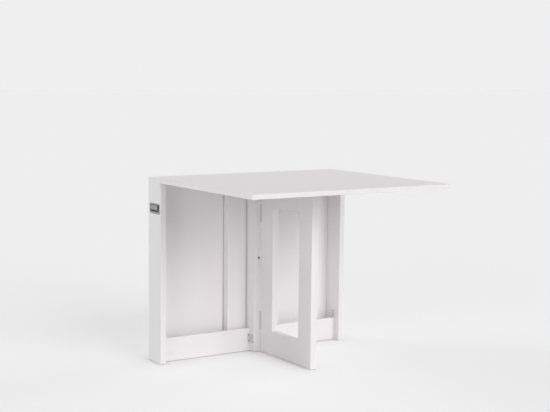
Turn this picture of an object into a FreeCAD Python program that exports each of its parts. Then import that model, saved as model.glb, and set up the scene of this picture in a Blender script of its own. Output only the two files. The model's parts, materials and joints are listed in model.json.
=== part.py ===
import FreeCAD, Part
import os
import Sketcher

# Folding console table: a narrow body stands along the wall, and a wide leaf is hinged to the
# front edge of its fixed top. A gate leg, hinged to the post in the middle of the body, swings
# out under the raised leaf. Millimetres; X along the table, Y to the wall, Z up, and the origin
# on the floor under the middle of the opened top.

SIZES = [
    ("table_length", 900, "body and leaf, end to end"),
    ("table_height", 750, "floor to the top face"),
    ("body_depth", 106, "fixed top and end boards, wall to front"),
    ("leaf_width", 692, "leaf, seam to front edge"),
    ("top_thickness", 18, "fixed top and leaf"),
    ("seam_gap", 1.5, "between the fixed top and the leaf"),
    ("edge_round", 1.5, "eased edges of the lacquered boards"),
    ("fit_play", 0.2, "all round in notches and recesses"),
    ("end_thickness", 25, "end boards"),
    ("rail_height", 96, "plinth rail"),
    ("rail_thickness", 18, "plinth rail"),
    ("rail_setback", 32, "recess in front of the rail, for the folded gate"),
    ("back_thickness", 10, "back panel, which covers the backs of the end boards"),
    ("groove_width", 1, "shadow groove between an end board and the back panel"),
    ("groove_depth", 4, "shadow groove between an end board and the back panel"),
    ("stile_width", 208, "centre back stile"),
    ("rail_stile_gap", 12, "between the rail and the centre back stile"),
    ("panel_groove_width", 3.5, "grooves in the back panel beside the centre back stile"),
    ("panel_groove_depth", 4, "grooves in the back panel beside the centre back stile"),
    ("stile_groove_width", 3.5, "grooves in the centre back stile beside the hinge post"),
    ("stile_groove_depth", 6, "grooves in the centre back stile beside the hinge post"),
    ("post_stile_gap", 2, "shadow gap between the hinge post and the centre back stile"),
    ("post_width", 31, "hinge post, seen from the front"),
    ("post_offset", 4, "middle of the table to the middle of the hinge post"),
    ("glide_thickness", 2, "floor glides, so also the gap under the boards"),
    ("glide_radius", 10, "floor glides at the top"),
    ("glide_taper", 1.5, "by which a glide narrows to the floor"),
    ("glide_inset", 16, "from a board's edge to a glide's centre"),
    ("dowel_radius", 4, "all dowels"),
    ("dowel_length", 30, "all dowels"),
    ("dowel_play", 0.05, "round a dowel in its bore"),
    ("dowel_end_play", 0.5, "past a dowel's end in its bore"),
    ("dowel_into_top", 12, "depth of the dowels in the fixed top"),
    ("gate_end_gap", 29, "between the folded gate and the end board"),
    ("gate_thickness", 28, "gate frame"),
    ("gate_stile_width", 90, "both upright members of the gate"),
    ("gate_rail_height", 100, "both cross members of the gate"),
    ("gate_leaf_gap", 10, "between the gate frame and the leaf"),
    ("gate_pad_length", 30, "bearing pad along the gate"),
    ("gate_pad_width", 20, "bearing pad across the gate"),
    ("gate_pad_inset", 8, "from the gate's free end to the pad"),
    ("gate_pad_play", 0.3, "between the pad and the leaf"),
    ("stop_length", 60, "stop block along the gate"),
    ("stop_width", 20, "stop block across the gate"),
    ("stop_height", 22, "stop block below the leaf"),
    ("stop_play", 0.3, "between the stop block and the gate"),
    ("hinge_plate", 1.5, "thickness of all hinge plates"),
    ("hinge_mortise", 1.3, "depth to which the gate hinges are let into the wood"),
    ("plate_play", 0.4, "between the plates of a closed gate hinge"),
    ("knuckle_radius", 3.2, "all hinge knuckles"),
    ("hinge_pin_radius", 1.6, "all hinge pins"),
    ("pin_play", 0.05, "round a pin in its bore"),
    ("hinge_play", 0.3, "between knuckles, and round them in the wood"),
    ("gate_hinge_height", 75, "gate hinges"),
    ("gate_hinge_width", 24, "each plate of a gate hinge, from the pin"),
    ("gate_hinge_inset", 97, "from the gate's top and bottom to its hinges"),
    ("leaf_hinge_length", 50, "leaf hinges"),
    ("leaf_hinge_width", 25, "each plate of a leaf hinge, from the pin"),
    ("leaf_hinge_inset", 150, "table's end to the middle of the outer leaf hinge"),
    ("hinge_screw_edge", 8, "outer edge of a hinge plate to its screws"),
    ("hinge_screw_end", 8, "end of a hinge plate to its first and last screw"),
    ("screw_head_radius", 3, "all countersunk screws"),
    ("screw_shank_radius", 1.5, "all countersunk screws"),
    ("screw_length", 13, "all countersunk screws"),
    ("screw_play", 0.1, "round a screw in its plate"),
    ("bracket_thickness", 2, "all angle brackets"),
    ("bracket_length", 36, "long side of the angle brackets"),
    ("bracket_leg", 15, "short side of the rail brackets"),
    ("bracket_width", 17, "width of the rail brackets"),
    ("post_bracket_leg", 28, "side of the post bracket on the post"),
    ("post_bracket_rail_leg", 11, "side of the post bracket on the rail"),
    ("bracket_bend", 1.5, "inner bend of the angle brackets"),
    ("bracket_corner", 3, "rounded corners of the angle brackets"),
    ("bracket_screw_edge", 5, "edge of a bracket to the screws along it"),
    ("bracket_screw_end", 6, "end of a bracket to its last screw"),
    ("bracket_screw_pitch", 16, "between the screws on a bracket's long side"),
    ("post_bracket_level", 57, "floor to the middle of the post bracket"),
    ("bumper_radius", 4, "rubber bumper for the folded leaf"),
    ("bumper_thickness", 3, "rubber bumper for the folded leaf"),
    ("bumper_level", 401, "floor to the bumper"),
    ("bumper_offset", 5, "middle of the hinge post to the bumper"),
    ("handle_height", 41, "flange of the flush handle"),
    ("handle_drop", 122.5, "top face to the middle of the flush handle"),
    ("handle_inset", 8, "front of the end board to the flush handle"),
    ("handle_back_margin", 5, "flush handle to the back of the end board"),
    ("handle_corner", 4, "rounded corners of the flange and tray"),
    ("flange_thickness", 1.2, "flange, proud of the end board"),
    ("flange_border", 3, "flange above and beside the tray"),
    ("flange_lower_border", 8, "flange below the tray"),
    ("flange_round", 0.4, "eased rim of the flange"),
    ("tray_depth", 14, "tray, into the end board"),
    ("tray_wall", 1, "sheet of the tray"),
    ("flap_thickness", 2.5, "grip flap"),
    ("flap_inset", 0.3, "grip flap, behind the flange's face"),
    ("flap_lip", 5, "depth of the curled lip along the flap's lower edge"),
    ("flap_round", 0.8, "eased lower edge of the flap"),
    ("flap_side_gap", 1.5, "between the flap and the tray at the wall end"),
    ("finger_gap_front", 14, "open tray in front of the flap"),
    ("finger_gap_below", 5.5, "open tray below the flap"),
    ("flap_barrel_radius", 2.4, "rolled upper edge of the flap"),
    ("flap_pin_radius", 1.2, "pin of the flap"),
    ("flap_pin_drop", 3.6, "tray's upper wall to the flap's pin"),
    ("flap_pin_depth", 2.6, "end board's face to the flap's pin"),
]

PLACES = [
    ("half_length", "sizes.table_length / 2"),
    ("back_y", "(sizes.body_depth + sizes.seam_gap + sizes.leaf_width) / 2"),
    ("front_y", "back_y - sizes.body_depth"),
    ("leaf_front_y", "-back_y"),
    ("underside", "sizes.table_height - sizes.top_thickness"),
    ("board_height", "underside - sizes.glide_thickness"),
    ("inner_half", "half_length - sizes.end_thickness"),
    ("inner_length", "2 * inner_half"),
    ("rail_front_y", "front_y + sizes.rail_setback"),
    ("rail_middle_y", "rail_front_y + sizes.rail_thickness / 2"),
    ("plinth_top_z", "sizes.glide_thickness + sizes.rail_height"),
    ("panel_front_y", "back_y - sizes.back_thickness"),
    ("end_depth", "sizes.body_depth - sizes.back_thickness"),
    ("stile_front_y", "rail_front_y + sizes.rail_thickness + sizes.rail_stile_gap"),
    ("stile_thickness", "panel_front_y - stile_front_y"),
    ("post_left_x", "sizes.post_offset - sizes.post_width / 2"),
    ("post_right_x", "sizes.post_offset + sizes.post_width / 2"),
    ("post_depth", "stile_front_y - sizes.post_stile_gap - front_y"),
    ("dowel_bore", "sizes.dowel_radius + sizes.dowel_play"),
    ("dowel_half", "sizes.dowel_length / 2"),
    ("dowel_bore_half", "dowel_half + sizes.dowel_end_play"),
    ("dowel_in_board", "sizes.dowel_length - sizes.dowel_into_top + sizes.dowel_end_play"),
    ("hinge_gap", "2 * (sizes.hinge_plate - sizes.hinge_mortise) + sizes.plate_play"),
    ("gate_axis_x", "post_right_x + hinge_gap / 2"),
    ("gate_length", "inner_half - gate_axis_x - sizes.gate_end_gap"),
    ("gate_middle_x", "gate_axis_x + sizes.gate_thickness / 2"),
    ("gate_back_y", "front_y - hinge_gap / 2"),
    ("gate_front_y", "gate_back_y - gate_length"),
    ("hinge_stile_y", "gate_back_y - sizes.gate_stile_width"),
    ("gate_rail_y", "gate_front_y + sizes.gate_stile_width"),
    ("gate_rail_length", "gate_length - 2 * sizes.gate_stile_width"),
    ("gate_top_z", "underside - sizes.gate_leaf_gap"),
    ("gate_height", "gate_top_z - sizes.glide_thickness"),
    ("gate_top_rail_z", "gate_top_z - sizes.gate_rail_height"),
    ("lower_hinge_z", "sizes.glide_thickness + sizes.gate_hinge_inset"),
    ("upper_hinge_z", "gate_top_z - sizes.gate_hinge_inset - sizes.gate_hinge_height"),
    ("knuckle_room", "sizes.knuckle_radius + sizes.hinge_play"),
    ("pin_bore", "sizes.hinge_pin_radius + sizes.pin_play"),
    ("leaf_axis_y", "front_y - sizes.seam_gap / 2"),
    ("leaf_axis_z", "underside - knuckle_room"),
    ("leaf_hinge_outer", "half_length - sizes.leaf_hinge_inset"),
    ("leaf_hinge_inner", "leaf_hinge_outer / 3"),
    ("leaf_plate_offset", "knuckle_room - sizes.hinge_plate"),
    ("gate_plate_offset", "sizes.plate_play / 2"),
    ("handle_length", "end_depth - sizes.handle_inset - sizes.handle_back_margin"),
    ("handle_y", "front_y + sizes.handle_inset + handle_length"),
    ("handle_z", "sizes.table_height - sizes.handle_drop - sizes.handle_height / 2"),
    ("tub_length", "handle_length - 2 * sizes.flange_border"),
    ("tub_height", "sizes.handle_height - sizes.flange_border - sizes.flange_lower_border"),
    ("tray_start", "sizes.flange_border + sizes.tray_wall"),
    ("tray_foot", "sizes.flange_lower_border + sizes.tray_wall"),
    ("tray_length", "tub_length - 2 * sizes.tray_wall"),
    ("tray_height", "tub_height - 2 * sizes.tray_wall"),
    ("flap_length", "tray_length - sizes.flap_side_gap - sizes.finger_gap_front"),
    ("flap_foot", "tray_foot + sizes.finger_gap_below"),
    ("flap_pin_height", "tray_foot + tray_height - sizes.flap_pin_drop"),
    ("flap_face", "sizes.flange_thickness - sizes.flap_inset"),
    ("flap_back", "flap_face - sizes.flap_thickness"),
    ("flap_bore", "sizes.flap_pin_radius + sizes.pin_play"),
]

NODES = []
X_AXIS = FreeCAD.Vector(1, 0, 0)
Y_AXIS = FreeCAD.Vector(0, 1, 0)
Z_AXIS = FreeCAD.Vector(0, 0, 1)
ALONG_X = FreeCAD.Rotation(Z_AXIS, X_AXIS)
ALONG_Y = FreeCAD.Rotation(Z_AXIS, Y_AXIS)
ALONG_Z = FreeCAD.Rotation()
QUARTER_TURN = FreeCAD.Rotation(Z_AXIS, 90)
HALF_TURN = FreeCAD.Rotation(Z_AXIS, 180)
UPSIDE_DOWN = FreeCAD.Rotation(X_AXIS, 180)
# Local X to the wall, local Y up, local Z along the table
TO_WALL = FreeCAD.Rotation(Y_AXIS, Z_AXIS, X_AXIS, "XYZ")
# Local X to the front, local Y up, local Z out of the left end
TO_FRONT = FreeCAD.Rotation(-Y_AXIS, Z_AXIS, -X_AXIS, "XYZ")

doc = FreeCAD.newDocument("folding_console_table")


def fill_sheet(name, rows):
    """Write rows of alias and content to a sheet, one row of cells each."""
    sheet = doc.addObject("Spreadsheet::Sheet", name)
    for row, (alias, content) in enumerate(rows, 1):
        sheet.set(f"A{row}", alias)
        sheet.set(f"B{row}", content)
        sheet.setAlias(f"B{row}", alias)
    doc.recompute()
    return sheet


fill_sheet("sizes", [(alias, str(number)) for alias, number, meaning in SIZES])
fill_sheet("places", [(alias, "=" + formula) for alias, formula in PLACES])


def bind(item, expressions):
    """Tie properties of an object to expressions."""
    for name, expression in expressions.items():
        item.setExpression(name, expression)


def place(item, corner, turn=ALONG_Z):
    """Turn an object, and tie its place to three expressions."""
    item.Placement = FreeCAD.Placement(FreeCAD.Vector(), turn)
    for axis, expression in zip("xyz", corner):
        item.setExpression(f"Placement.Base.{axis}", expression)


def keep(item, label):
    """Name an object as one sub-part of the table."""
    item.Label = label
    NODES.append(item)
    return item


def new_body(label, corner, turn=ALONG_Z):
    """A sub-part of its own, with its local origin at corner."""
    body = doc.addObject("PartDesign::Body", label)
    place(body, corner, turn)
    return keep(body, label)


def pad(body, plane, corners, length):
    """Pad a closed outline, drawn on one of the body's own planes."""
    sketch = body.newObject("Sketcher::SketchObject", f"{body.Name}_outline")
    support = [item for item in body.Origin.OriginFeatures if item.Role == plane]
    sketch.AttachmentSupport = (support[0], [""])
    sketch.MapMode = "FlatFace"
    count = len(corners)
    # Any open ring of points will do to start with: the constraints then place each corner
    ring = [FreeCAD.Vector(1 + i % 2, 1 + i, 0) for i in range(count)]
    for i in range(count):
        sketch.addGeometry(Part.LineSegment(ring[i], ring[(i + 1) % count]))
    for i in range(count):
        sketch.addConstraint(Sketcher.Constraint("Coincident", i, 2, (i + 1) % count, 1))
    for i, corner in enumerate(corners):
        for kind, axis, start, expression in zip(("DistanceX", "DistanceY"), (-2, -1), ring[i], corner):
            if expression == "0":
                sketch.addConstraint(Sketcher.Constraint("PointOnObject", i, 1, axis))
            else:
                number = sketch.addConstraint(Sketcher.Constraint(kind, -1, 1, i, 1, start))
                sketch.setExpression(f"Constraints[{number}]", expression)
    feature = body.newObject("PartDesign::Pad", f"{body.Name}_pad")
    feature.Profile = sketch
    feature.setExpression("Length", length)
    doc.recompute()
    return feature


def oblong(x, y):
    """The corners of a rectangle from the local origin."""
    return [("0", "0"), (x, "0"), (x, y), ("0", y)]


def shape_box(body, kind, size, corner):
    """Add or cut a block; kind is Additive or Subtractive."""
    block = body.newObject(f"PartDesign::{kind}Box", f"{body.Name}_block")
    bind(block, dict(zip(("Length", "Width", "Height"), size)))
    place(block, corner)
    doc.recompute()
    return block


def shape_rod(body, kind, radius, length, start, turn=ALONG_Z):
    """Add or cut a round rod; kind is Additive or Subtractive."""
    rod = body.newObject(f"PartDesign::{kind}Cylinder", f"{body.Name}_rod")
    bind(rod, {"Radius": radius, "Height": length})
    place(rod, start, turn)
    doc.recompute()
    return rod


def round_edges(body, radius, directions, wanted=lambda middle: True):
    """Round the straight edges that run in the given directions."""
    base = body.Tip
    names = []
    for number, edge in enumerate(base.Shape.Edges, 1):
        if edge.Curve.TypeId != "Part::GeomLine":
            continue
        tangent = edge.tangentAt(edge.FirstParameter)
        runs = any(abs(tangent.dot(direction)) > 0.999 for direction in directions)
        if runs and wanted(edge.CenterOfMass):
            names.append(f"Edge{number}")
    fillet = body.newObject("PartDesign::Fillet", f"{body.Name}_round")
    fillet.Base = (base, names)
    fillet.setExpression("Radius", radius)
    doc.recompute()
    return fillet


def board(label, size, corner, eased):
    """A flat board with eased edges."""
    body = new_body(label, corner)
    pad(body, "XY_Plane", oblong(size[0], size[1]), size[2])
    round_edges(body, "sizes.edge_round", eased)
    return body


def cylinder(name, radius, length, start, turn=ALONG_Z):
    """A plain rod in the table's own frame."""
    rod = doc.addObject("Part::Cylinder", name)
    bind(rod, {"Radius": radius, "Height": length})
    place(rod, start, turn)
    return rod


def group(label, items):
    """Several separate solids that share one node."""
    cluster = doc.addObject("Part::Compound", label)
    cluster.Links = items
    return keep(cluster, label)


def mirrored(source, label):
    """The right-hand twin of a left-hand sub-part."""
    twin = doc.addObject("Part::Mirroring", label)
    twin.Source = source
    twin.Normal = X_AXIS
    return keep(twin, label)


def value(name):
    """A number from either sheet, for picking edges by their place."""
    sheet, alias = name.split(".")
    return getattr(doc.getObject(sheet), alias)


def over_corners(corner, size):
    """A test for points over the corners of a rectangle, given its first corner and its size."""
    sides = [(value(start), value(start) + value(length)) for start, length in zip(corner, size)]

    def test(point):
        return all(any(abs(at - side) < value("sizes.fit_play") for side in pair)
                   for at, pair in zip(point, sides))

    return test


# Body of the table

def top_bore(body, x, y):
    """Bore in the upper end of an upright, for a dowel into the fixed top."""
    shape_rod(body, "Subtractive", "places.dowel_bore", "places.dowel_in_board",
              (x, y, "places.board_height - places.dowel_in_board"))


def left_end_board():
    """End board with a recess for the handle, a groove by the panel, and bores for dowels."""
    body = board("left_end_board", ("sizes.end_thickness", "places.end_depth", "places.board_height"),
                 ("-places.half_length", "places.front_y", "sizes.glide_thickness"), [Z_AXIS])
    shape_box(body, "Subtractive", (
        "sizes.tray_depth + sizes.fit_play",
        "places.tub_length + 2 * sizes.fit_play",
        "places.tub_height + 2 * sizes.fit_play",
    ), (
        "0",
        "sizes.handle_inset + sizes.flange_border - sizes.fit_play",
        "places.handle_z + sizes.flange_lower_border - sizes.fit_play - sizes.glide_thickness",
    ))
    shape_box(body, "Subtractive", ("sizes.groove_depth", "sizes.groove_width", "places.board_height"),
              ("0", "places.end_depth - sizes.groove_width", "0"))
    for quarter in (1, 3):
        shape_rod(body, "Subtractive", "places.dowel_bore", "places.dowel_bore_half", (
            "sizes.end_thickness - places.dowel_bore_half",
            "sizes.rail_setback + sizes.rail_thickness / 2",
            f"{quarter} * sizes.rail_height / 4",
        ), ALONG_X)
        top_bore(body, "sizes.end_thickness / 2", f"{quarter} * places.end_depth / 4")
    return body


def plinth_rail():
    """Rail between the end boards, bored for the dowels at both ends."""
    body = board("plinth_rail", ("places.inner_length", "sizes.rail_thickness", "sizes.rail_height"),
                 ("-places.inner_half", "places.rail_front_y", "sizes.glide_thickness"), [X_AXIS])
    for start in ("0", "places.inner_length - places.dowel_bore_half"):
        for quarter in (1, 3):
            shape_rod(body, "Subtractive", "places.dowel_bore", "places.dowel_bore_half", (
                start, "sizes.rail_thickness / 2", f"{quarter} * sizes.rail_height / 4"), ALONG_X)
    return body


def top_dowel_spots():
    """Where the dowels of the fixed top stand: along from the middle, and back from the front."""
    end_x = "places.half_length - sizes.end_thickness / 2"
    columns = ((f"-({end_x})", "places.end_depth"), (f"({end_x})", "places.end_depth"),
               ("sizes.post_offset", "places.post_depth"))
    return [(x, f"{quarter} * {depth} / 4") for x, depth in columns for quarter in (1, 3)]


def fixed_top():
    """Narrow top over the body, bored from below for the dowels in the uprights."""
    body = new_body("fixed_top", ("-places.half_length", "places.front_y", "places.underside"))
    pad(body, "XY_Plane", oblong("sizes.table_length", "sizes.body_depth"), "sizes.top_thickness")
    # The lower edges stay sharp, so that the joint with the end boards doesn't show
    round_edges(body, "sizes.edge_round", [X_AXIS, Y_AXIS, Z_AXIS], lambda middle: middle.z > 0)
    for x, y in top_dowel_spots():
        shape_rod(body, "Subtractive", "places.dowel_bore", "sizes.dowel_into_top + sizes.dowel_end_play",
                  (f"places.half_length + {x}", y, "0"))
    return body


def hinge_post():
    """Post notched over the plinth rail, with the gate hinges let into its right face."""
    body = new_body("hinge_post", ("places.post_left_x", "places.front_y", "sizes.glide_thickness"))
    pad(body, "XY_Plane", oblong("sizes.post_width", "places.post_depth"), "places.board_height")
    round_edges(body, "sizes.edge_round", [Z_AXIS], lambda middle: middle.y < value("sizes.edge_round"))
    shape_box(body, "Subtractive", (
        "sizes.post_width",
        "sizes.rail_thickness + 2 * sizes.fit_play",
        "sizes.rail_height + sizes.fit_play",
    ), ("0", "sizes.rail_setback - sizes.fit_play", "0"))
    for quarter in (1, 3):
        top_bore(body, "sizes.post_width / 2", f"{quarter} * places.post_depth / 4")
    for level in ("places.lower_hinge_z", "places.upper_hinge_z"):
        hinge_seat(body, ("sizes.post_width + places.hinge_gap / 2", "0"), (
            "sizes.hinge_mortise", "sizes.gate_hinge_width + sizes.fit_play",
        ), ("sizes.post_width - sizes.hinge_mortise", "0"), level)
    return body


def hinge_seat(body, pin, size, corner, level):
    """Shallow mortise for a plate of a gate hinge, and a hollow for its knuckles."""
    shape_rod(body, "Subtractive", "places.knuckle_room", "sizes.gate_hinge_height + 2 * sizes.hinge_play",
              (*pin, f"{level} - sizes.glide_thickness - sizes.hinge_play"))
    shape_box(body, "Subtractive", (*size, "sizes.gate_hinge_height + 2 * sizes.fit_play"),
              (*corner, f"{level} - sizes.glide_thickness - sizes.fit_play"))


def glide(name, x, y):
    """Floor glide, a little narrower at the floor."""
    foot = doc.addObject("Part::Cone", name)
    bind(foot, {
        "Radius1": "sizes.glide_radius - sizes.glide_taper",
        "Radius2": "sizes.glide_radius",
        "Height": "sizes.glide_thickness",
    })
    place(foot, (x, y, "0"))
    return foot


def body_glides():
    """Two glides under each end board and one under the post."""
    end_x = "places.half_length - sizes.end_thickness / 2"
    spots = [("sizes.post_offset", "places.front_y + sizes.glide_inset")]
    for x in (f"-({end_x})", end_x):
        spots.append((x, "places.front_y + sizes.glide_inset"))
        spots.append((x, "places.panel_front_y - sizes.glide_inset"))
    return group("body_glides", [glide(f"body_glide_{i}", x, y) for i, (x, y) in enumerate(spots, 1)])


def rail_dowels():
    """Two dowels in each end of the plinth rail."""
    dowels = []
    for joint in ("-places.inner_half", "places.inner_half"):
        for quarter in (1, 3):
            spot = (f"{joint} - places.dowel_half", "places.rail_middle_y",
                    f"sizes.glide_thickness + {quarter} * sizes.rail_height / 4")
            dowels.append(cylinder(f"rail_dowel_{len(dowels) + 1}", "sizes.dowel_radius",
                                   "sizes.dowel_length", spot, ALONG_X))
    return group("rail_dowels", dowels)


def top_dowels():
    """Two dowels between the fixed top and each end board, and two over the post."""
    foot = "places.underside + sizes.dowel_into_top - sizes.dowel_length"
    dowels = [cylinder(f"top_dowel_{i}", "sizes.dowel_radius", "sizes.dowel_length",
                       (x, f"places.front_y + {y}", foot))
              for i, (x, y) in enumerate(top_dowel_spots(), 1)]
    return group("top_dowels", dowels)


def upright_grooves(body, middle, left, right, name):
    """Two upright grooves in a board's front: left and right say where they meet, from its middle."""
    width = f"sizes.{name}_width"
    for x in (f"{middle} + {left} - {width}", f"{middle} + {right}"):
        shape_box(body, "Subtractive", (width, f"sizes.{name}_depth", "places.board_height"), (x, "0", "0"))


def back_panel():
    """Panel behind the whole body, grooved beside the centre back stile."""
    body = board("back_panel", ("sizes.table_length", "sizes.back_thickness", "places.board_height"),
                 ("-places.half_length", "places.panel_front_y", "sizes.glide_thickness"), [Z_AXIS])
    upright_grooves(body, "places.half_length", "-sizes.stile_width / 2", "sizes.stile_width / 2",
                    "panel_groove")


def centre_back_stile():
    """Wide stile on the back panel, grooved beside the hinge post that stands before it."""
    body = board("centre_back_stile", ("sizes.stile_width", "places.stile_thickness", "places.board_height"),
                 ("-sizes.stile_width / 2", "places.stile_front_y", "sizes.glide_thickness"), [Z_AXIS])
    upright_grooves(body, "sizes.stile_width / 2", "places.post_left_x", "places.post_right_x",
                    "stile_groove")


def make_body():
    """The standing body: boards, rail, post, dowels, glides and bumper."""
    mirrored(left_end_board(), "right_end_board")
    fixed_top()
    plinth_rail()
    back_panel()
    centre_back_stile()
    hinge_post()
    body_glides()
    rail_dowels()
    top_dowels()
    spot = ("sizes.post_offset + sizes.bumper_offset", "places.front_y - sizes.bumper_thickness",
            "sizes.bumper_level")
    bumper = cylinder("leaf_bumper", "sizes.bumper_radius", "sizes.bumper_thickness", spot, ALONG_Y)
    keep(bumper, "leaf_bumper")


# Screws, hinges and angle brackets

def screw(name, spot, turn):
    """Countersunk screw whose head's face lies at spot."""
    head = doc.addObject("Part::Cone", f"{name}_head")
    bind(head, {
        "Radius1": "sizes.screw_head_radius",
        "Radius2": "sizes.screw_shank_radius",
        "Height": "sizes.screw_head_radius - sizes.screw_shank_radius",
    })
    place(head, spot, turn)
    shank = cylinder(f"{name}_shank", "sizes.screw_shank_radius", "sizes.screw_length", spot, turn)
    whole = doc.addObject("Part::Fuse", name)
    whole.Base = head
    whole.Tool = shank
    return whole


def countersink(body, spot, turn):
    """Hole for a countersunk screw whose head's face lies at spot."""
    cone = body.newObject("PartDesign::SubtractiveCone", f"{body.Name}_countersink")
    bind(cone, {
        "Radius1": "sizes.screw_head_radius + sizes.screw_play",
        "Radius2": "sizes.screw_shank_radius + sizes.screw_play",
        "Height": "sizes.screw_head_radius - sizes.screw_shank_radius",
    })
    place(cone, spot, turn)
    doc.recompute()
    shank = "sizes.screw_shank_radius + sizes.screw_play"
    shape_rod(body, "Subtractive", shank, "sizes.screw_length", spot, turn)


def screw_set(name, spots, turn, corner, whole_turn):
    """Screws in a plate's local frame, set where the plate is set."""
    screws = [screw(f"{name}_{i}", spot, turn) for i, spot in enumerate(spots, 1)]
    cluster = doc.addObject("Part::Compound", name)
    cluster.Links = screws
    place(cluster, corner, whole_turn)
    return cluster


def hinge_plate(label, length, outline, offset, knuckles, spots, corner, turn):
    """One plate of a butt hinge, its pin along the local Z axis.

    outline gives where the plate starts and ends, measured from the pin; knuckles is a list of
    True for the plate's own knuckles and False for its partner's.
    """
    body = new_body(label, corner, turn)
    start, end = outline
    inner, outer = offset, f"{offset} + sizes.hinge_plate"
    pad(body, "XY_Plane", [(start, inner), (end, inner), (end, outer), (start, outer)], length)
    shape_rod(body, "Additive", "sizes.knuckle_radius", length, ("0", "0", "0"))
    share = f"{length} / {len(knuckles)}"
    for i, own in enumerate(knuckles):
        if not own:
            shape_rod(body, "Subtractive", "places.knuckle_room", f"{share} + sizes.hinge_play",
                      ("0", "0", f"{i} * {share} - sizes.hinge_play / 2"))
    shape_rod(body, "Subtractive", "places.pin_bore", length, ("0", "0", "0"))
    for spot in spots:
        countersink(body, spot, ALONG_Y)
    return body


def gate_hinges():
    """Two butt hinges of five knuckles between the post and the gate."""
    length = "sizes.gate_hinge_height"
    offset = "places.gate_plate_offset"
    reach = "sizes.gate_hinge_width - sizes.hinge_screw_edge"
    levels = ("sizes.hinge_screw_end", f"{length} / 2", f"{length} - sizes.hinge_screw_end")
    spots = [(reach, offset, level) for level in levels]
    outline = ("0", "sizes.gate_hinge_width")
    post_knuckles = [True, False, True, False, True]
    gate_knuckles = [not own for own in post_knuckles]
    post_screws = []
    gate_screws = []
    hinges = (("upper_gate_hinge", "places.upper_hinge_z"), ("lower_gate_hinge", "places.lower_hinge_z"))
    for name, level in hinges:
        foot = ("places.gate_axis_x", "places.front_y", level)
        head = (foot[0], foot[1], f"{level} + {length}")
        hinge_plate(f"{name}_post_plate", length, outline, offset, post_knuckles, spots, foot, QUARTER_TURN)
        hinge_plate(f"{name}_gate_plate", length, outline, offset, gate_knuckles, spots, head, UPSIDE_DOWN)
        keep(cylinder(f"{name}_pin", "sizes.hinge_pin_radius", length, foot), f"{name}_pin")
        post_screws.append(screw_set(f"{name}_post_screws", spots, ALONG_Y, foot, QUARTER_TURN))
        gate_screws.append(screw_set(f"{name}_gate_screws", spots, ALONG_Y, head, UPSIDE_DOWN))
    group("gate_hinge_post_screws", post_screws)
    group("gate_hinge_gate_screws", gate_screws)


def leaf_hinges():
    """Four butt hinges of three knuckles under the seam of the top."""
    length = "sizes.leaf_hinge_length"
    offset = "places.leaf_plate_offset"
    reach = "sizes.leaf_hinge_width - sizes.hinge_screw_edge"
    levels = ("sizes.hinge_screw_end", f"{length} - sizes.hinge_screw_end")
    spots = [(reach, offset, level) for level in levels]
    outline = ("sizes.seam_gap / 2", "sizes.leaf_hinge_width")
    middles = ("-places.leaf_hinge_outer", "-places.leaf_hinge_inner",
               "places.leaf_hinge_inner", "places.leaf_hinge_outer")
    top_screws = []
    leaf_screws = []
    for i, middle in enumerate(middles, 1):
        left = (f"{middle} - {length} / 2", "places.leaf_axis_y", "places.leaf_axis_z")
        right = (f"{middle} + {length} / 2", left[1], left[2])
        name = f"leaf_hinge_{i}"
        hinge_plate(f"{name}_top_plate", length, outline, offset, [True, False, True], spots, left, TO_WALL)
        hinge_plate(f"{name}_leaf_plate", length, outline, offset, [False, True, False], spots, right,
                    TO_FRONT)
        keep(cylinder(f"{name}_pin", "sizes.hinge_pin_radius", length, left, ALONG_X), f"{name}_pin")
        top_screws.append(screw_set(f"{name}_top_screws", spots, ALONG_Y, left, TO_WALL))
        leaf_screws.append(screw_set(f"{name}_leaf_screws", spots, ALONG_Y, right, TO_FRONT))
    group("leaf_hinge_top_screws", top_screws)
    group("leaf_hinge_leaf_screws", leaf_screws)


def angle_bracket(label, legs, width, holes, corner, turn):
    """Bent angle with its inner corner at the local origin, and its bend along local Z."""
    body = new_body(label, corner, turn)
    thick = "sizes.bracket_thickness"
    along, across = legs
    pad(body, "XY_Plane", [
        ("0", "0"), (along, "0"), (along, thick), (thick, thick), (thick, across), ("0", across)], width)
    bend = value(thick) - value("sizes.fit_play")
    round_edges(body, "sizes.bracket_bend", [Z_AXIS],
                lambda middle: bend < middle.x < value(along) / 2 and bend < middle.y < value(across) / 2)
    reach = [value(leg) - value("sizes.fit_play") for leg in legs]
    round_edges(body, "sizes.bracket_corner", [X_AXIS, Y_AXIS],
                lambda middle: middle.x > reach[0] or middle.y > reach[1])
    for spot, direction in holes:
        countersink(body, spot, direction)
    return body


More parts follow.
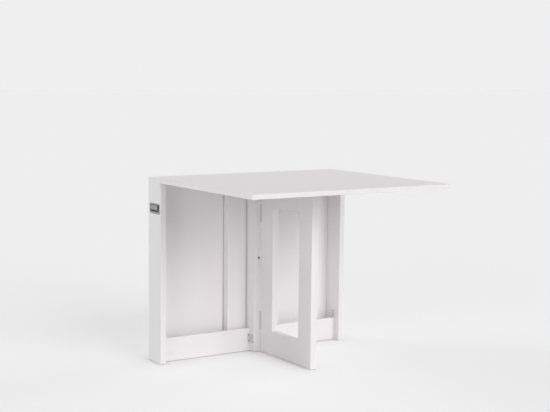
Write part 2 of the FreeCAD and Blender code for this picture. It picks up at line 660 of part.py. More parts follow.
def brackets():
    """Angle brackets that hold the plinth rail to the post and to both end boards."""
    thick = "sizes.bracket_thickness"
    into_y = FreeCAD.Rotation(Z_AXIS, -Y_AXIS)
    into_x = FreeCAD.Rotation(Z_AXIS, -X_AXIS)
    screws = []

    # Beside the post: one leg on the rail's front face, the other on the post's left face
    corner = ("places.post_left_x", "places.rail_front_y",
              "sizes.post_bracket_level - sizes.bracket_length / 2")
    legs = ("sizes.post_bracket_rail_leg", "sizes.post_bracket_leg")
    levels = ("sizes.bracket_screw_end", "sizes.bracket_length - sizes.bracket_screw_end")
    rail_holes = [(f"{legs[0]} - sizes.bracket_screw_edge", thick, level) for level in levels]
    post_holes = [(thick, f"{legs[1]} - sizes.bracket_screw_edge", level) for level in levels]
    holes = [(spot, into_y) for spot in rail_holes] + [(spot, into_x) for spot in post_holes]
    angle_bracket("post_bracket", legs, "sizes.bracket_length", holes, corner, HALF_TURN)
    screws.append(screw_set("post_bracket_rail_screws", rail_holes, into_y, corner, HALF_TURN))
    screws.append(screw_set("post_bracket_post_screws", post_holes, into_x, corner, HALF_TURN))

    # On the plinth rail: a short leg on its upper edge, and a long one up the end board
    margin = "(sizes.rail_thickness - sizes.bracket_width) / 2"
    corner = ("-places.inner_half", f"places.rail_front_y + sizes.rail_thickness - {margin}",
              "places.plinth_top_z")
    turn = FreeCAD.Rotation(X_AXIS, Z_AXIS, -Y_AXIS, "XYZ")
    half_width = "sizes.bracket_width / 2"
    edge_holes = [("sizes.bracket_leg - sizes.bracket_screw_edge", thick, half_width)]
    upper = "sizes.bracket_length - sizes.bracket_screw_end"
    end_holes = [(thick, level, half_width) for level in (f"{upper} - sizes.bracket_screw_pitch", upper)]
    holes = [(spot, into_y) for spot in edge_holes] + [(spot, into_x) for spot in end_holes]
    left = angle_bracket("left_rail_bracket", ("sizes.bracket_leg", "sizes.bracket_length"),
                         "sizes.bracket_width", holes, corner, turn)
    mirrored(left, "right_rail_bracket")
    for name, spots, direction in (("rail_edge", edge_holes, into_y), ("rail_end", end_holes, into_x)):
        left_set = screw_set(f"left_{name}_screws", spots, direction, corner, turn)
        right_set = doc.addObject("Part::Mirroring", f"right_{name}_screws")
        right_set.Source = left_set
        right_set.Normal = X_AXIS
        screws += [left_set, right_set]
    group("bracket_screws", screws)


# Gate leg

def gate_stile(label, start, bore_start):
    """Upright member of the gate, bored for the dowels of both cross members."""
    body = board(label, ("sizes.gate_thickness", "sizes.gate_stile_width", "places.gate_height"),
                 ("places.gate_axis_x", start, "sizes.glide_thickness"), [Z_AXIS])
    for rail_z in ("0", "places.gate_height - sizes.gate_rail_height"):
        for quarter in (1, 3):
            shape_rod(body, "Subtractive", "places.dowel_bore", "places.dowel_bore_half", (
                "sizes.gate_thickness / 2", bore_start,
                f"{rail_z} + {quarter} * sizes.gate_rail_height / 4"), ALONG_Y)
    return body


def gate_rail(label, level):
    """Cross member of the gate, bored for the dowels at both ends."""
    body = board(label, ("sizes.gate_thickness", "places.gate_rail_length", "sizes.gate_rail_height"),
                 ("places.gate_axis_x", "places.gate_rail_y", level), [Y_AXIS])
    for start in ("0", "places.gate_rail_length - places.dowel_bore_half"):
        for quarter in (1, 3):
            shape_rod(body, "Subtractive", "places.dowel_bore", "places.dowel_bore_half", (
                "sizes.gate_thickness / 2", start, f"{quarter} * sizes.gate_rail_height / 4"), ALONG_Y)
    return body


def gate_dowels():
    """Two dowels in each corner of the gate."""
    dowels = []
    for level in ("sizes.glide_thickness", "places.gate_top_rail_z"):
        for joint in ("places.gate_rail_y", "places.hinge_stile_y"):
            for quarter in (1, 3):
                spot = ("places.gate_middle_x", f"{joint} - places.dowel_half",
                        f"{level} + {quarter} * sizes.gate_rail_height / 4")
                dowels.append(cylinder(f"gate_dowel_{len(dowels) + 1}", "sizes.dowel_radius",
                                       "sizes.dowel_length", spot, ALONG_Y))
    return group("gate_dowels", dowels)


def make_gate():
    """The gate frame with its glide and the pad that the leaf rests on."""
    stile = gate_stile("gate_hinge_stile", "places.hinge_stile_y", "0")
    for level in ("places.lower_hinge_z", "places.upper_hinge_z"):
        hinge_seat(stile, ("0", "sizes.gate_stile_width + places.hinge_gap / 2"), (
            "sizes.gate_hinge_width + sizes.fit_play", "sizes.hinge_mortise",
        ), ("0", "sizes.gate_stile_width - sizes.hinge_mortise"), level)
    gate_stile("gate_free_stile", "places.gate_front_y", "sizes.gate_stile_width - places.dowel_bore_half")
    gate_rail("gate_top_rail", "places.gate_top_rail_z")
    gate_rail("gate_bottom_rail", "sizes.glide_thickness")
    gate_dowels()
    foot = glide("gate_glide", "places.gate_middle_x", "places.gate_front_y + sizes.gate_stile_width / 2")
    keep(foot, "gate_glide")
    pad_height = "sizes.gate_leaf_gap - sizes.gate_pad_play"
    board("gate_top_pad", ("sizes.gate_pad_width", "sizes.gate_pad_length", pad_height),
          ("places.gate_middle_x - sizes.gate_pad_width / 2", "places.gate_front_y + sizes.gate_pad_inset",
           "places.gate_top_z"), [Z_AXIS])


# Leaf

def make_leaf():
    """The leaf, with the block under it that stops the opened gate."""
    board("leaf_board", ("sizes.table_length", "sizes.leaf_width", "sizes.top_thickness"),
          ("-places.half_length", "places.leaf_front_y", "places.underside"), [X_AXIS, Y_AXIS, Z_AXIS])
    board("gate_stop_block", ("sizes.stop_width", "sizes.stop_length", "sizes.stop_height"),
          ("places.gate_axis_x - sizes.stop_play - sizes.stop_width", "places.gate_front_y",
           "places.underside - sizes.stop_height"), [Z_AXIS])


# Flush handles

def handle_tray(corner):
    """Pressed tray with a flange on the end board's face, and holes for the flap's pin."""
    body = new_body("left_handle_tray", corner, TO_FRONT)
    wall, corner_round = "sizes.tray_wall", "sizes.handle_corner"
    pad(body, "XY_Plane", oblong("places.handle_length", "sizes.handle_height"), "sizes.flange_thickness")
    round_edges(body, corner_round, [Z_AXIS])
    tub_corner = ("sizes.flange_border", "sizes.flange_lower_border")
    tub_size = ("places.tub_length", "places.tub_height")
    shape_box(body, "Additive", (*tub_size, "sizes.tray_depth"), (*tub_corner, "-sizes.tray_depth"))
    round_edges(body, f"{corner_round} / 2 + {wall}", [Z_AXIS], over_corners(tub_corner, tub_size))
    tray_corner = ("places.tray_start", "places.tray_foot")
    tray_size = ("places.tray_length", "places.tray_height")
    shape_box(body, "Subtractive", (*tray_size, f"sizes.tray_depth - {wall} + sizes.flange_thickness"),
              (*tray_corner, f"{wall} - sizes.tray_depth"))
    round_edges(body, f"{corner_round} / 2", [Z_AXIS], over_corners(tray_corner, tray_size))
    rim = value("sizes.flange_thickness") - value("sizes.fit_play")
    round_edges(body, "sizes.flange_round", [X_AXIS], lambda middle: middle.z > rim)
    shape_rod(body, "Subtractive", "places.flap_bore", "places.tub_length",
              ("sizes.flange_border", "places.flap_pin_height", "-sizes.flap_pin_depth"), ALONG_X)
    return body


def handle_flap(corner):
    """Grip flap: a plate with a lip along its lower edge and a rolled upper edge round the pin."""
    body = new_body("left_handle_flap", corner, TO_FRONT)
    foot, head, lip = "places.flap_foot", "places.flap_pin_height", "sizes.flap_thickness"
    pad(body, "YZ_Plane", [
        (foot, "places.flap_face"), (foot, "places.flap_face - sizes.flap_lip"),
        (f"{foot} + {lip}", "places.flap_face - sizes.flap_lip"), (f"{foot} + {lip}", "places.flap_back"),
        (head, "places.flap_back"), (head, "places.flap_face"),
    ], "places.flap_length")
    low = value(foot) + value("sizes.fit_play")
    round_edges(body, "sizes.flap_round", [X_AXIS], lambda middle: middle.y < low)
    shape_rod(body, "Additive", "sizes.flap_barrel_radius", "places.flap_length",
              ("0", head, "-sizes.flap_pin_depth"), ALONG_X)
    shape_rod(body, "Subtractive", "places.flap_bore", "places.flap_length",
              ("0", head, "-sizes.flap_pin_depth"), ALONG_X)
    return body


def make_handles():
    """A flush handle in each end board."""
    corner = ("-places.half_length", "places.handle_y", "places.handle_z")
    flap_corner = (corner[0], f"{corner[1]} - places.tray_start - sizes.flap_side_gap", corner[2])
    mirrored(handle_tray(corner), "right_handle_tray")
    mirrored(handle_flap(flap_corner), "right_handle_flap")
    pin = cylinder("left_handle_pin", "sizes.flap_pin_radius", "places.tub_length", (
        "-places.half_length + sizes.flap_pin_depth",
        "places.handle_y - sizes.flange_border - places.tub_length",
        "places.handle_z + places.flap_pin_height"), ALONG_Y)
    mirrored(keep(pin, "left_handle_pin"), "right_handle_pin")


def write_parts():
    """Check every object and every sub-part, then write one file for each sub-part."""
    doc.recompute()
    for item in doc.Objects:
        if "Invalid" in item.State or "Error" in item.State:
            raise RuntimeError(f"{item.Name} failed: {item.State}")
    for item in NODES:
        if item.Shape.isNull() or not item.Shape.isValid():
            raise RuntimeError(f"{item.Label} has no valid shape")
    os.makedirs("parts", exist_ok=True)
    for item in NODES:
        item.Shape.exportStep(f"parts/{item.Label}.step")
        print(item.Label, len(item.Shape.Solids), "solids", round(item.Shape.Volume), "mm3")


make_body()
gate_hinges()
leaf_hinges()
brackets()
make_gate()
make_leaf()
make_handles()
write_parts()
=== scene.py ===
# %% [markdown]
# # A white folding console table
# The table is a narrow body that stands along a wall, with a wide leaf hinged to its fixed top
# and a gate leg that swings out to carry the leaf. The solid model already holds every board,
# hinge, bracket and handle at its true size, so this lesson loads it as a fixed frame and then
# does what a solid modeller leaves out: finishes, screws with real cross recesses, light, floor
# and camera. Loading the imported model, instead of modelling the table again, keeps every size.

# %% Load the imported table
import json
import math

import bmesh
import bpy
from mathutils import Matrix, Vector


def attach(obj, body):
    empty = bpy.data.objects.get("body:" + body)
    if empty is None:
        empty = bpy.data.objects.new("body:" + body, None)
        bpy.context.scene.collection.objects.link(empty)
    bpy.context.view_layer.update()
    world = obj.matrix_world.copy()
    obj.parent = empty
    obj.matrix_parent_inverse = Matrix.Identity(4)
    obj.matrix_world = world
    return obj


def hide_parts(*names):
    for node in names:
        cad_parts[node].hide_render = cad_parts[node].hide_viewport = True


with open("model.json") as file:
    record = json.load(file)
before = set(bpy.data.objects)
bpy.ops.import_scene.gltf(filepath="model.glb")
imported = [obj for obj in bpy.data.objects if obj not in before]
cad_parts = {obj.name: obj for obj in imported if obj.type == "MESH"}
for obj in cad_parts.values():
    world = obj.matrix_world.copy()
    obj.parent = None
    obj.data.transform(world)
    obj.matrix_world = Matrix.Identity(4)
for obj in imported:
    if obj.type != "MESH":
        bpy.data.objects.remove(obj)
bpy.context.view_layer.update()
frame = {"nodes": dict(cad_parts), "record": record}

print("pieces in the frame:", len(frame["nodes"]))

# %% [markdown]
# ## Writing node graphs as sums
# Finishes, floor, sky and screws are all graphs of nodes, and placing such nodes one by one hides
# what they work out. Here a node's output is wrapped in a class that knows +, - and *, so that a
# varying roughness can be written as a sum. One method makes any other node: it takes the node's
# type, then its settings, then what goes into its sockets. Blender links shader nodes and geometry
# nodes in the same way, so the two classes serve both.

# %% A socket that can stand in a sum
class Signal:
    def __init__(self, graph, socket):
        self.graph = graph
        self.socket = socket

    def sum_node(self, operation, first, second):
        return self.graph.node("ShaderNodeMath", {"operation": operation}, {0: first, 1: second})

    def __add__(self, other):
        return self.sum_node("ADD", self, other)

    def __radd__(self, other):
        return self.sum_node("ADD", other, self)

    def __sub__(self, other):
        return self.sum_node("SUBTRACT", self, other)

    def __rsub__(self, other):
        return self.sum_node("SUBTRACT", other, self)

    def __mul__(self, other):
        return self.sum_node("MULTIPLY", self, other)

    def __rmul__(self, other):
        return self.sum_node("MULTIPLY", other, self)


print("sums of sockets are ready")

# %% A graph that makes its own nodes
class Graph:
    def __init__(self, tree):
        self.tree = tree

    def node(self, kind, settings=None, sockets=None, output=0):
        made = self.tree.nodes.new(kind)
        for name, value in (settings or {}).items():
            setattr(made, name, value)
        for key, value in (sockets or {}).items():
            self.feed(made.inputs[key], value)
        return Signal(self, made.outputs[output]) if made.outputs else None

    def feed(self, socket, value):
        if isinstance(value, list):
            for one in value:
                self.feed(socket, one)
        elif isinstance(value, Signal):
            self.tree.links.new(value.socket, socket)
        else:
            socket.default_value = value


print("graphs can be written")

# %% [markdown]
# ## What every finish shares
# A finish starts from one standard shader, a noise or two, and a shallow relief. The patterns could
# be painted on each board, but noise that is worked out in space needs no unwrapping. All patterns
# read Object coordinates, which for these pieces are metres in the table's own frame, so a grain
# keeps its size on every board.

# %% A finish
MIX_FACTOR, MIX_FIRST, MIX_SECOND, MIX_COLOUR = 0, 6, 7, 2
NOISE_MIDDLE = 0.5


class Finish(Graph):
    def __init__(self, name, fixed):
        self.material = bpy.data.materials.new(name)
        self.material.use_nodes = True
        super().__init__(self.material.node_tree)
        self.shader = self.tree.nodes["Principled BSDF"]
        self.place = self.node("ShaderNodeTexCoord", output="Object")
        self.drive(fixed)

    def drive(self, sockets):
        for label, value in sockets.items():
            self.feed(self.shader.inputs[label], value)

    def noise(self, per_metre, detail=2.0, place=None):
        sockets = {"Vector": place or self.place, "Scale": per_metre, "Detail": detail}
        return self.node("ShaderNodeTexNoise", sockets=sockets)

    def drawn_out_noise(self, per_metre_each_way, detail):
        sockets = {0: self.place, 1: per_metre_each_way}
        stretched = self.node("ShaderNodeVectorMath", {"operation": "MULTIPLY"}, sockets)
        return self.noise(1.0, detail, stretched)

    def mix(self, factor, first, second):
        sockets = {MIX_FACTOR: factor, MIX_FIRST: (*first, 1), MIX_SECOND: (*second, 1)}
        return self.node("ShaderNodeMix", {"data_type": "RGBA"}, sockets, MIX_COLOUR)

    def relief(self, height, depth, strength):
        sockets = {"Height": height, "Distance": depth, "Strength": strength}
        self.drive({"Normal": self.node("ShaderNodeBump", sockets=sockets)})


finishes = {}
print("finishes can be written")

# %% [markdown]
# ## White lacquer
# The boards are sprayed with a satin white lacquer. Close to, such a coat is never quite flat: it
# dries with a fine orange peel a millimetre or two across, and its gloss drifts over a board with
# the thickness of the coat. A plain white shader would look like paper, and a photograph of paint
# would not fit every board. So one noise makes the peel as a shallow bump, and a slow second one
# moves the tone and the roughness by a few parts in a hundred.

# %% Lacquered boards
LACQUER_IOR = 1.48
COAT_DRIFT_PER_METRE = 4.0
COAT_DRIFT_GLOSS = 0.16
PEEL_GLOSS = 0.08
PEEL_STRENGTH = 0.35


def lacquer(name, thin_coat, thick_coat, roughness, peel_per_metre, peel_depth):
    finish = Finish(name, {"IOR": LACQUER_IOR})
    drift = finish.noise(COAT_DRIFT_PER_METRE)
    peel = finish.noise(peel_per_metre)
    drift_gloss = (drift - NOISE_MIDDLE) * COAT_DRIFT_GLOSS
    peel_gloss = (peel - NOISE_MIDDLE) * PEEL_GLOSS
    finish.drive({
        "Base Color": finish.mix(drift, thin_coat, thick_coat),
        "Roughness": roughness + drift_gloss + peel_gloss,
    })
    finish.relief(peel, peel_depth, PEEL_STRENGTH)
    finishes[name] = finish.material


lacquer("white_lacquer", thin_coat=(0.865, 0.832, 0.843), thick_coat=(0.895, 0.868, 0.876),
        roughness=0.42, peel_per_metre=700.0, peel_depth=0.00006)
# Painted light: the back panel's paler tones lift the recessed panel, which lies in the shade of the
# leaf and the end boards, towards the brightness of the boards in front.
lacquer("white_back_panel", thin_coat=(0.905, 0.876, 0.884), thick_coat=(0.925, 0.896, 0.904),
        roughness=0.52, peel_per_metre=420.0, peel_depth=0.00008)
print("lacquers:", sorted(finishes))

# %% [markdown]
# ## Beech dowels
# Dowels of plain beech join the boards. They hide in their holes until the table is taken apart,
# and then they show short dark flecks along the grain. A wood texture with rings would be too
# coarse for a peg a few millimetres thick. A noise makes the flecks instead, squeezed in height,
# so that it is drawn out along the dowels that lie level.

# %% Beech
BEECH_IOR = 1.45
FLECKS_PER_METRE = (260.0, 260.0, 900.0)
FLECK_DETAIL = 4.0
FLECK_GLOSS = 0.2
FLECK_DEPTH = 0.0001
FLECK_STRENGTH = 0.3


def beech(name, pale, fleck, roughness):
    finish = Finish(name, {"IOR": BEECH_IOR})
    grain = finish.drawn_out_noise(FLECKS_PER_METRE, FLECK_DETAIL)
    finish.drive({
        "Base Color": finish.mix(grain, pale, fleck),
        "Roughness": roughness + grain * FLECK_GLOSS,
    })
    finish.relief(grain, FLECK_DEPTH, FLECK_STRENGTH)
    finishes[name] = finish.material


beech("beech_dowel", pale=(0.62, 0.42, 0.24), fleck=(0.40, 0.24, 0.12), roughness=0.55)
print("wood:", [name for name in finishes if name.startswith("beech")])

# %% [markdown]
# ## Plastic and rubber
# The feet and the bearing pad of the gate are moulded plastic, and a small rubber stud stops the
# folded leaf. A mould leaves a fine spark texture on plastic and a dull mottled skin on rubber.
# Both are one noise at different sizes, so one function makes all three. They are small pieces,
# but each gets a grain of its own, because they show when the table is seen from below.

# %% Moulded pieces
MOULDED_IOR = 1.5
SPARK_DETAIL = 3.0
SPARK_GLOSS = 0.2
SPARK_STRENGTH = 0.4


def moulded(name, pale, dull, roughness, grain_per_metre, depth):
    finish = Finish(name, {"IOR": MOULDED_IOR})
    grain = finish.noise(grain_per_metre, SPARK_DETAIL)
    finish.drive({
        "Base Color": finish.mix(grain, pale, dull),
        "Roughness": roughness + (grain - NOISE_MIDDLE) * SPARK_GLOSS,
    })
    finish.relief(grain, depth, SPARK_STRENGTH)
    finishes[name] = finish.material


moulded("glide_plastic", pale=(0.62, 0.61, 0.60), dull=(0.54, 0.53, 0.52),
        roughness=0.5, grain_per_metre=2500.0, depth=0.00004)
moulded("pad_plastic", pale=(0.76, 0.75, 0.74), dull=(0.68, 0.67, 0.66),
        roughness=0.45, grain_per_metre=2500.0, depth=0.00004)
moulded("bumper_rubber", pale=(0.075, 0.074, 0.073), dull=(0.05, 0.05, 0.05),
        roughness=0.7, grain_per_metre=1800.0, depth=0.00006)
print("finishes so far:", sorted(finishes))

# %% [markdown]
# ## Brushed metal
# The flush handles are brushed nickel and the hinges are steel with a brushed plating. What makes
# metal look brushed is a set of fine parallel scratches that shift the roughness and tilt the
# surface a little. An anisotropic shader would stretch the highlights without showing a scratch. A
# noise that is squeezed across the brushing direction and drawn out along it shows them up close.

# %% Brushed handles and hinges
METAL = 1.0
SCRATCH_DETAIL = 3.0
SCRATCH_GLOSS = 0.3
SCRATCH_DEPTH = 0.00003
SCRATCH_STRENGTH = 0.5
SMUDGES_PER_METRE = 60.0
SMUDGE_GLOSS = 0.12


def brushed(name, bright, dull, roughness, scratches_per_metre):
    finish = Finish(name, {"Metallic": METAL})
    scratch = finish.drawn_out_noise(scratches_per_metre, SCRATCH_DETAIL)
    smudge = finish.noise(SMUDGES_PER_METRE)
    scratch_gloss = (scratch - NOISE_MIDDLE) * SCRATCH_GLOSS
    smudge_gloss = (smudge - NOISE_MIDDLE) * SMUDGE_GLOSS
    finish.drive({
        "Base Color": finish.mix(scratch, bright, dull),
        "Roughness": roughness + scratch_gloss + smudge_gloss,
    })
    finish.relief(scratch, SCRATCH_DEPTH, SCRATCH_STRENGTH)
    finishes[name] = finish.material


brushed("handle_nickel", bright=(0.41, 0.41, 0.405), dull=(0.32, 0.32, 0.315),
        roughness=0.34, scratches_per_metre=(3500.0, 60.0, 3500.0))
brushed("hinge_steel", bright=(0.68, 0.675, 0.67), dull=(0.58, 0.575, 0.57),
        roughness=0.36, scratches_per_metre=(2600.0, 2600.0, 80.0))
print("finishes so far:", sorted(finishes))

# %% [markdown]
# ## Zinc plating
# The angle brackets and the screws are zinc plated. Zinc grows in a bath and has no brushing
# direction, only soft grey clouds, so a plain noise without any stretch is enough.

# %% Plated brackets and screws
CLOUDS_PER_METRE = 420.0
CLOUD_DETAIL = 4.0
CLOUD_GLOSS = 0.25
CLOUD_DEPTH = 0.00003
CLOUD_STRENGTH = 0.3


def plated(name, bright, dull, roughness):
    finish = Finish(name, {"Metallic": METAL})
    cloud = finish.noise(CLOUDS_PER_METRE, CLOUD_DETAIL)
    finish.drive({
        "Base Color": finish.mix(cloud, bright, dull),
        "Roughness": roughness + (cloud - NOISE_MIDDLE) * CLOUD_GLOSS,
    })
    finish.relief(cloud, CLOUD_DEPTH, CLOUD_STRENGTH)
    finishes[name] = finish.material


plated("bracket_steel", bright=(0.80, 0.795, 0.795), dull=(0.70, 0.70, 0.70), roughness=0.44)
plated("zinc_screw", bright=(0.46, 0.455, 0.45), dull=(0.36, 0.36, 0.36), roughness=0.34)
print("finishes in all:", len(finishes))

# %% [markdown]
# ## Dress the boards and fittings
# The record that came with the solids says which finish each piece takes. Reading that list is
# safer than typing fifty names again, and a piece that is added later is dressed by itself.

# %% Give every piece its finish
for piece in frame["record"]["subparts"]:
    mesh = frame["nodes"][piece["node"]].data
    mesh.materials.clear()
    mesh.materials.append(finishes[piece["material_slot"]])

# %% [markdown]
# ## Countersunk screws
# Every hinge plate and bracket is held by small countersunk screws. The solids hold them as plain
# cones on plain shanks; a real one has a cross recess for the driver, left at whatever angle the
# last turn gave. Nearly forty identical pieces are a job for Geometry Nodes: the screw is built
# once in a node tree and placed on a cloud of points, one point on each head, with the head's
# direction stored on the point. First the heads are found on the solids. Each screw is an island
# of joined faces, longest along its axis and widest at its head.

# %% Part a mesh into islands
MERGE_DISTANCE = 1e-6


def islands(mesh):
    shape = bmesh.new()
    shape.from_mesh(mesh)
    bmesh.ops.remove_doubles(shape, verts=shape.verts, dist=MERGE_DISTANCE)
    waiting = set(shape.verts)
    found = []
    for start in shape.verts:
        if start not in waiting:
            continue
        waiting.remove(start)
        front, island = [start], [start]
        while front:
            vertex = front.pop()
            for edge in vertex.link_edges:
                other = edge.other_vert(vertex)
                if other in waiting:
                    waiting.remove(other)
                    island.append(other)
                    front.append(other)
        found.append([vertex.co.copy() for vertex in island])
    shape.free()
    return found


print("bracket screws:", len(islands(frame["nodes"]["bracket_screws"].data)))

# %% Find the screw heads on the solids
SCREWS_BY_BODY = {
    "console_body": ("gate_hinge_post_screws", "leaf_hinge_top_screws", "bracket_screws"),
    "gate_leg": ("gate_hinge_gate_screws",),
    "leaf": ("leaf_hinge_leaf_screws",),
}


def head_of(points):
    low = Vector(min(point[i] for point in points) for i in range(3))
    high = Vector(max(point[i] for point in points) for i in range(3))
    middle, size = (low + high) / 2, high - low
    along = max(range(3), key=lambda i: size[i])
    axis = Vector(1.0 if i == along else 0.0 for i in range(3))
    widest = max(points, key=lambda point: (point - middle - axis * (point - middle).dot(axis)).length)
    if (widest - middle).dot(axis) < 0:
        axis = -axis
    return middle + axis * size[along] / 2, axis


heads_by_body = {
    body: [head_of(points) for node in nodes for points in islands(frame["nodes"][node].data)]
    for body, nodes in SCREWS_BY_BODY.items()
}
print("screw heads:", {body: len(heads) for body, heads in heads_by_body.items()})

# %% [markdown]
# The screw itself: a cone for the head, a tapering shank below it, and two crossed bars that are
# cut out of the head. It could be modelled by hand once and copied, but in a node tree every size
# is a named input, so that a larger screw is a matter of turning a value on the modifier. The
# boolean nodes keep it one closed shape.

# %% A tree with named sizes
class SizedTree(Graph):
    def __init__(self, name):
        super().__init__(bpy.data.node_groups.new(name, "GeometryNodeTree"))
        self.entry = self.tree.nodes.new("NodeGroupInput")
        self.identifiers = {}

    def size(self, label, kind, default=None):
        socket = self.tree.interface.new_socket(label, in_out="INPUT", socket_type=kind)
        if default is not None:
            socket.default_value = default
        self.identifiers[label] = socket.identifier
        return Signal(self, self.entry.outputs[label])

    def end_in(self, geometry):
        self.tree.interface.new_socket("Geometry", in_out="OUTPUT", socket_type="NodeSocketGeometry")
        self.node("NodeGroupOutput", sockets={0: geometry})


tree = SizedTree("countersunk_screws")
points = tree.size("Heads", "NodeSocketGeometry")
head_radius = tree.size("Head Radius", "NodeSocketFloat", 0.003)
head_height = tree.size("Head Height", "NodeSocketFloat", 0.0015)
shank_radius = tree.size("Shank Radius", "NodeSocketFloat", 0.0015)
screw_length = tree.size("Screw Length", "NodeSocketFloat", 0.013)
tip_radius = tree.size("Tip Radius", "NodeSocketFloat", 0.0003)
recess_length = tree.size("Recess Length", "NodeSocketFloat", 0.0034)
recess_width = tree.size("Recess Width", "NodeSocketFloat", 0.0007)
recess_depth = tree.size("Recess Depth", "NodeSocketFloat", 0.001)
seed = tree.size("Seed", "NodeSocketInt", 3)
metal = tree.size("Finish", "NodeSocketMaterial")
print("named inputs of the screw:", list(tree.identifiers))

# %% Build one screw
SCREW_SIDES = 28
HEAD_SHARE_ABOVE_SHANK = 0.9
QUARTER_TURN = math.pi / 2


def cone(top_radius, foot_radius, height, top_level):
    shape = tree.node("GeometryNodeMeshCone", {"fill_type": "NGON"}, {
        "Vertices": SCREW_SIDES, "Radius Top": top_radius, "Radius Bottom": foot_radius,
        "Depth": height})
    offset = tree.node("ShaderNodeCombineXYZ", sockets={"Z": top_level - height})
    return tree.node("GeometryNodeTransform", sockets={"Geometry": shape, "Translation": offset})


def recess_bar(turn):
    # Half of the bar stands above the head's face and cuts nothing
    sides = {"X": recess_length, "Y": recess_width, "Z": recess_depth * 2.0}
    size = tree.node("ShaderNodeCombineXYZ", sockets=sides)
    bar = tree.node("GeometryNodeMeshCube", sockets={"Size": size})
    return tree.node("GeometryNodeTransform", sockets={"Geometry": bar, "Rotation": (0, 0, turn)})


shank_drop = head_height * HEAD_SHARE_ABOVE_SHANK
head = cone(head_radius, shank_radius, head_height, 0.0)
shank = cone(shank_radius, tip_radius, screw_length - shank_drop, shank_drop * -1.0)
solid = tree.node("GeometryNodeMeshBoolean", {"operation": "UNION"}, {"Mesh 2": [head, shank]})
screw = tree.node("GeometryNodeMeshBoolean", {"operation": "DIFFERENCE"},
                  {"Mesh 1": solid, "Mesh 2": [recess_bar(0.0), recess_bar(QUARTER_TURN)]})
print("screw tree nodes:", len(tree.tree.nodes))

# %% [markdown]
# A point only says where a head is. To stand a screw on it, its Z axis is turned along the stored
# direction, and then it is spun about itself by a random angle with a fixed seed, because no two
# cross recesses line up on a real hinge. The instances are made real at the end, since an export
# keeps only real meshes.

# %% Stand the screws on their points
direction = tree.node("GeometryNodeInputNamedAttribute", {"data_type": "FLOAT_VECTOR"},
                      {"Name": "direction"})
upright = tree.node("FunctionNodeAlignRotationToVector", {"axis": "Z"}, {"Vector": direction})
spin = tree.node("FunctionNodeRandomValue", {"data_type": "FLOAT"},
                 {"Min": 0.0, "Max": QUARTER_TURN, "Seed": seed}, output=1)
own_spin = tree.node("FunctionNodeAxisAngleToRotation", sockets={"Axis": (0, 0, 1), "Angle": spin})
turned = tree.node("FunctionNodeRotateRotation", {"rotation_space": "LOCAL"},
                   {"Rotation": upright, "Rotate By": own_spin})
placed = tree.node("GeometryNodeInstanceOnPoints", sockets={
    "Points": points, "Instance": screw, "Rotation": turned})
real = tree.node("GeometryNodeRealizeInstances", sockets={"Geometry": placed})
tree.end_in(tree.node("GeometryNodeSetMaterial", sockets={"Geometry": real, "Material": metal}))
print("screw tree nodes with placing:", len(tree.tree.nodes))

# %% [markdown]
# One mesh of screws is made for each moving body, so that the gate's screws swing with the gate
# and the leaf's screws with the leaf. The result is frozen into a plain mesh, and the modifier
# goes, before the piece takes the place of the plain screws of the solid model.

# %% One mesh of screws for each body
def screws_for(body, heads):
    cloud = bpy.data.meshes.new(f"{body}_screw_heads")
    cloud.from_pydata([centre for centre, _ in heads], [], [])
    stored = cloud.attributes.new("direction", "FLOAT_VECTOR", "POINT")
    for i, (_, axis) in enumerate(heads):
        stored.data[i].vector = axis
    piece = bpy.data.objects.new(f"{body}_screws", cloud)
    bpy.context.scene.collection.objects.link(piece)
    pattern = piece.modifiers.new("screws", "NODES")
    pattern.node_group = tree.tree
    pattern[tree.identifiers["Finish"]] = finishes["zinc_screw"]
    graph = bpy.context.evaluated_depsgraph_get()
    mesh = bpy.data.meshes.new_from_object(piece.evaluated_get(graph))
    piece.modifiers.remove(pattern)
    piece.data = mesh
    mesh.name = piece.name
    return piece


for body, heads in heads_by_body.items():
    screws = screws_for(body, heads)
    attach(screws, body)
    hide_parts(*SCREWS_BY_BODY[body])
    print(screws.name, "faces:", len(screws.data.polygons))

# %% [markdown]
# ## Floor and backdrop
# The table stands in a pale photo booth where floor and wall run into one light grey. A lit floor
# alone darkens towards its far edge, and a floor that only glows shows no shadow. The floor here is
# a mix of both, and only rays from the camera and from mirrors see the glow, so it throws no light
# of its own on the table. Close to the boards the glow gives way to the paint, which keeps the thin
# dark line where a foot meets the floor. The sky of the booth has the same grey for those rays.

# %% Rays that see the booth itself
BOOTH_RAYS = ("Is Camera Ray", "Is Glossy Ray", "Is Transmission Ray")


def seen_directly(graph):
    """1 for a ray from the camera, from a mirror or through glass, else 0."""
    unseen = 1.0
    for ray in BOOTH_RAYS:
        unseen = unseen * (1 - graph.node("ShaderNodeLightPath", output=ray))
    return 1 - unseen


def empty_graph(owner):
    owner.use_nodes = True
    owner.node_tree.nodes.clear()
    return Graph(owner.node_tree)


print("rays that see the booth:", len(BOOTH_RAYS))

# %% The floor
FLOOR_PAINT = (0.85, 0.85, 0.85, 1)
FLOOR_GLOW = 1.16
GLOW_SHARE = 0.45
CONTACT_REACH = 0.12
FLOOR_HALF = 60.0

floor_finish = bpy.data.materials.new("booth_floor")
ground = empty_graph(floor_finish)
paint = ground.node("ShaderNodeBsdfDiffuse", sockets={"Color": FLOOR_PAINT})
glow = ground.node("ShaderNodeEmission", sockets={"Strength": FLOOR_GLOW})
open_floor = ground.node("ShaderNodeAmbientOcclusion", sockets={"Distance": CONTACT_REACH}, output="AO")
# Partly painted shade: where the ambient occlusion finds boards close by, the glow drops out. The
# darker line at a foot is then the paint's real lamp shadow, deepened by that cut.
glow_share = seen_directly(ground) * (open_floor * GLOW_SHARE)
surface = ground.node("ShaderNodeMixShader", sockets={0: glow_share, 1: paint, 2: glow})
ground.node("ShaderNodeOutputMaterial", sockets={"Surface": surface})

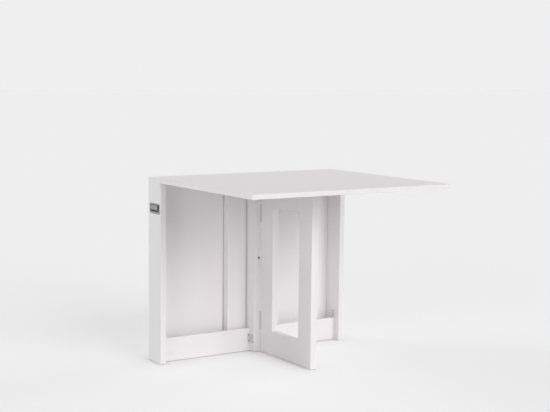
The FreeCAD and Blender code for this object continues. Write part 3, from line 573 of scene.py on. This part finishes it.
corners = [(-FLOOR_HALF, -FLOOR_HALF, 0), (FLOOR_HALF, -FLOOR_HALF, 0),
           (FLOOR_HALF, FLOOR_HALF, 0), (-FLOOR_HALF, FLOOR_HALF, 0)]
floor_mesh = bpy.data.meshes.new("booth_floor")
floor_mesh.from_pydata(corners, [], [(0, 1, 2, 3)])
floor_mesh.materials.append(floor_finish)
floor = bpy.data.objects.new("booth_floor", floor_mesh)
bpy.context.scene.collection.objects.link(floor)
print("floor side in metres:", 2 * FLOOR_HALF)

# %% [markdown]
# ## Studio light
# The leaf throws a soft shadow over the upper half of the body and none over the lower half, so
# the main light stands in front and about 25 degrees up. The end face is bright and free of that
# shadow, so light comes from behind on the left as well, and a low lamp on the right fills the
# recess by way of the gate. Each is a sun lamp with a wide disc: its shadows are soft, and it lights
# the floor evenly out to the horizon, which a lamp close by would not. Mirror rays don't see the
# lamps, because the satin top would otherwise burn out when it is looked at from the far side. The
# walls are a faint sky. A lamp's turn counts from straight in front towards the left, and its rise
# from the floor.

# %% Sky
BOOTH_GREY = (0.863, 0.863, 0.863, 1)
SKY_TINT = (1.0, 0.99, 0.995, 1)
SKY_LIGHT = 0.245

world = bpy.data.worlds.new("booth")
bpy.context.scene.world = world
sky = empty_graph(world)
walls = sky.node("ShaderNodeBackground", sockets={"Color": SKY_TINT, "Strength": SKY_LIGHT})
backdrop = sky.node("ShaderNodeBackground", sockets={"Color": BOOTH_GREY})
booth = sky.node("ShaderNodeMixShader", sockets={0: seen_directly(sky), 1: walls, 2: backdrop})
sky.node("ShaderNodeOutputWorld", sockets={"Surface": booth})
bpy.context.scene.view_settings.view_transform = "Standard"
print("sky:", SKY_LIGHT, "backdrop:", BOOTH_GREY[:3])

# %% Lamps
WHITE = (1, 1, 1)
COOL_WHITE = (0.94, 1, 0.985)
LAMPS = {
    "front_lamp": {"turn": -10, "rise": 27, "disc": 38, "strength": 1.62, "colour": WHITE},
    "left_lamp": {"turn": 60, "rise": 10, "disc": 30, "strength": 0.6, "colour": WHITE},
    "back_left_lamp": {"turn": 137, "rise": 20, "disc": 45, "strength": 1.06, "colour": COOL_WHITE},
    "right_lamp": {"turn": -90, "rise": 10, "disc": 30, "strength": 1.55, "colour": WHITE},
}


def hang_lamp(name, turn, rise, disc, strength, colour):
    lamp_data = bpy.data.lights.new(name, "SUN")
    lamp_data.energy = strength
    lamp_data.angle = math.radians(disc)
    lamp_data.color = colour
    lamp = bpy.data.objects.new(name, lamp_data)
    lamp.visible_glossy = False
    bpy.context.scene.collection.objects.link(lamp)
    turn, rise = math.radians(turn), math.radians(rise)
    towards_lamp = Vector((-math.sin(turn) * math.cos(rise), -math.cos(turn) * math.cos(rise),
                           math.sin(rise)))
    lamp.rotation_mode = "QUATERNION"
    lamp.rotation_quaternion = towards_lamp.to_track_quat("Z", "Y")


for name, settings in LAMPS.items():
    hang_lamp(name, **settings)
print("lamps:", sorted(LAMPS))

# %% [markdown]
# ## Camera
# The camera stands at the left front corner of the table, a little above the top, with a long lens.
# Its place, turn and lens were worked out from the corners of the table in the photograph, so the
# boards fall where the photograph has them. A slight roll belongs to the photograph too.

# %% Camera at the photograph's place
CAMERA_PLACE = Vector((-2.6242, -3.9422, 1.1760))
CAMERA_YAW = math.radians(32.632)
CAMERA_PITCH = math.radians(-6.367)
CAMERA_ROLL = math.radians(0.534)
FOCAL_PIXELS = 1205.3
IMAGE_WIDTH = 550
SENSOR_WIDTH = 36.0

ahead = Vector((math.sin(CAMERA_YAW) * math.cos(CAMERA_PITCH),
                math.cos(CAMERA_YAW) * math.cos(CAMERA_PITCH), math.sin(CAMERA_PITCH)))
level = Vector((math.cos(CAMERA_YAW), -math.sin(CAMERA_YAW), 0))
upward = level.cross(ahead)
right = level * math.cos(CAMERA_ROLL) + upward * math.sin(CAMERA_ROLL)
up = upward * math.cos(CAMERA_ROLL) - level * math.sin(CAMERA_ROLL)
camera_data = bpy.data.cameras.new("photo_camera")
camera_data.sensor_width = SENSOR_WIDTH
camera_data.lens = FOCAL_PIXELS / IMAGE_WIDTH * SENSOR_WIDTH
camera = bpy.data.objects.new("photo_camera", camera_data)
bpy.context.scene.collection.objects.link(camera)
camera.location = CAMERA_PLACE
camera.rotation_euler = Matrix((right, up, -ahead)).transposed().to_euler()
bpy.context.scene.camera = camera
print("lens in millimetres:", round(camera_data.lens, 2))
